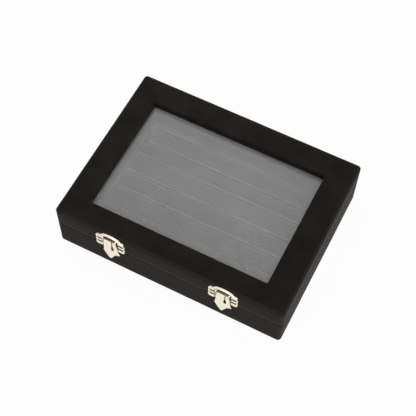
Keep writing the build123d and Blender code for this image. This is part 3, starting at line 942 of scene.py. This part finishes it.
for side in ("left", "right"):
    soften(f"{side}_latch_catch", metal_edge)
    soften(f"{side}_hinge_base_leaf", metal_edge)
    soften(f"{side}_hinge_lid_leaf", metal_edge)
for node_name in ("base_nails", "lid_nails"):
    soften(node_name, nail_edge)
for side in ("front", "back", "left", "right"):
    soften(f"glass_{side}_bead", bead_edge)

# ---------------------------------------------------------------- camera, floor and lights
# the camera was solved from the straight edges in the photograph
picture_size = 416  # pixels
focal_pixels = 1032.8
camera_azimuth = 25.67  # degrees from the front, towards the right
camera_elevation = 60.33  # degrees above the horizon
camera_roll = 1.60  # degrees
camera_distance = 868.5 * mm
camera_aim = Vector((-4.31, 5.41, 3.84)) * mm
floor_glow = 0.96  # share of the floor that is plain white to the camera
floor_drop = 0.05 * mm  # the floor lies this far under the box
sky_light = 0.3  # strength of the even light on the box
# what the glass mirrors is a little brighter towards the right: directions across, and strengths there
mirror_left, mirror_right = -0.31, -0.13
mirror_low, mirror_high = 1.0, 1.35


def make_camera():
    """The photograph's camera, aimed at a place in the box."""
    data = bpy.data.cameras.new("camera")
    data.sensor_width = 36.0
    data.lens = data.sensor_width * focal_pixels / picture_size
    camera = bpy.data.objects.new("camera", data)
    bpy.context.scene.collection.objects.link(camera)
    turn = Euler(
        (math.radians(90 - camera_elevation), 0, math.radians(camera_azimuth)), "XYZ"
    ).to_matrix() @ Euler((0, 0, math.radians(camera_roll)), "XYZ").to_matrix()
    camera.rotation_euler = turn.to_euler()
    camera.location = camera_aim + turn @ Vector((0, 0, camera_distance))
    bpy.context.scene.camera = camera


def background_ray(material):
    """1 for rays from the camera and from metal or glass, and 0 for rays that light the box."""
    ray = node(material, "ShaderNodeLightPath").outputs
    seen = ray["Is Camera Ray"]
    for kind in ("Is Glossy Ray", "Is Transmission Ray"):
        seen = node(material, "ShaderNodeMath", {0: seen, 1: ray[kind]}, operation="MAXIMUM").outputs[0]
    return seen


def make_floor():
    """A pale seamless floor: white to the camera and in reflections, with the box's shadow kept faintly."""
    floor = begin("studio_floor", bpy.ops.mesh.primitive_grid_add, x_subdivisions=8, y_subdivisions=8, size=6)
    close()
    material, shader, place = begin_material("white_paper_floor")
    fibres = pattern(material, place, 2 * mm)
    colour = mix(material, spread(material, fibres, 0.0, 1.0), linear("#F2F2F2"), linear("#F6F6F6"))
    feed(material, shader, Base_Color=colour, Roughness=0.9, Specular_IOR_Level=0.0)
    glow = node(material, "ShaderNodeEmission", {"Color": linear("#FFFFFF"), "Strength": 1.0}).outputs[0]
    seen = background_ray(material)
    share = node(material, "ShaderNodeMath", {0: seen, 1: floor_glow}, operation="MULTIPLY").outputs[0]
    both = node(material, "ShaderNodeMixShader", {0: share, 1: shader.outputs[0], 2: glow}).outputs[0]
    output = next(n for n in material.node_tree.nodes if n.type == "OUTPUT_MATERIAL")
    material.node_tree.links.new(both, output.inputs["Surface"])
    floor.data.materials.append(material)
    floor.location.z = -floor_drop


def make_world():
    """White behind everything that the camera, metal and glass see, and a softer even light on the box."""
    world = bpy.data.worlds.new("studio")
    bpy.context.scene.world = world
    world.use_nodes = True
    world.node_tree.nodes.clear()
    direction = node(world, "ShaderNodeTexCoord").outputs["Generated"]
    across = node(world, "ShaderNodeSeparateXYZ", {"Vector": direction}).outputs["X"]
    mirrored = spread(world, across, mirror_low, mirror_high, mirror_left, mirror_right)
    strength = spread(world, background_ray(world), sky_light, mirrored, 0.0, 1.0)
    sky = node(world, "ShaderNodeBackground", {"Color": linear("#FFFFFF"), "Strength": strength})
    node(world, "ShaderNodeOutputWorld", {"Surface": sky.outputs[0]})


def make_lamp(name, place, size, power):
    """A square soft box that faces the middle of the box and isn't seen itself."""
    data = bpy.data.lights.new(name, "AREA")
    data.size = size
    data.energy = power
    lamp = bpy.data.objects.new(name, data)
    bpy.context.scene.collection.objects.link(lamp)
    lamp.location = place
    lamp.visible_camera = False
    lamp.visible_glossy = False
    lamp.visible_transmission = False
    lamp.rotation_euler = (Vector(place) - Vector((0, 0, seam))).to_track_quat("Z", "Y").to_euler()


make_camera()
make_floor()
make_world()
make_lamp("back_lamp", place=(-0.13, 0.12, 0.42), size=0.14, power=0.76)
make_lamp("front_lamp", place=(0.6, -0.85, 0.3), size=0.6, power=4.2)

bpy.context.scene.view_settings.view_transform = "Standard"
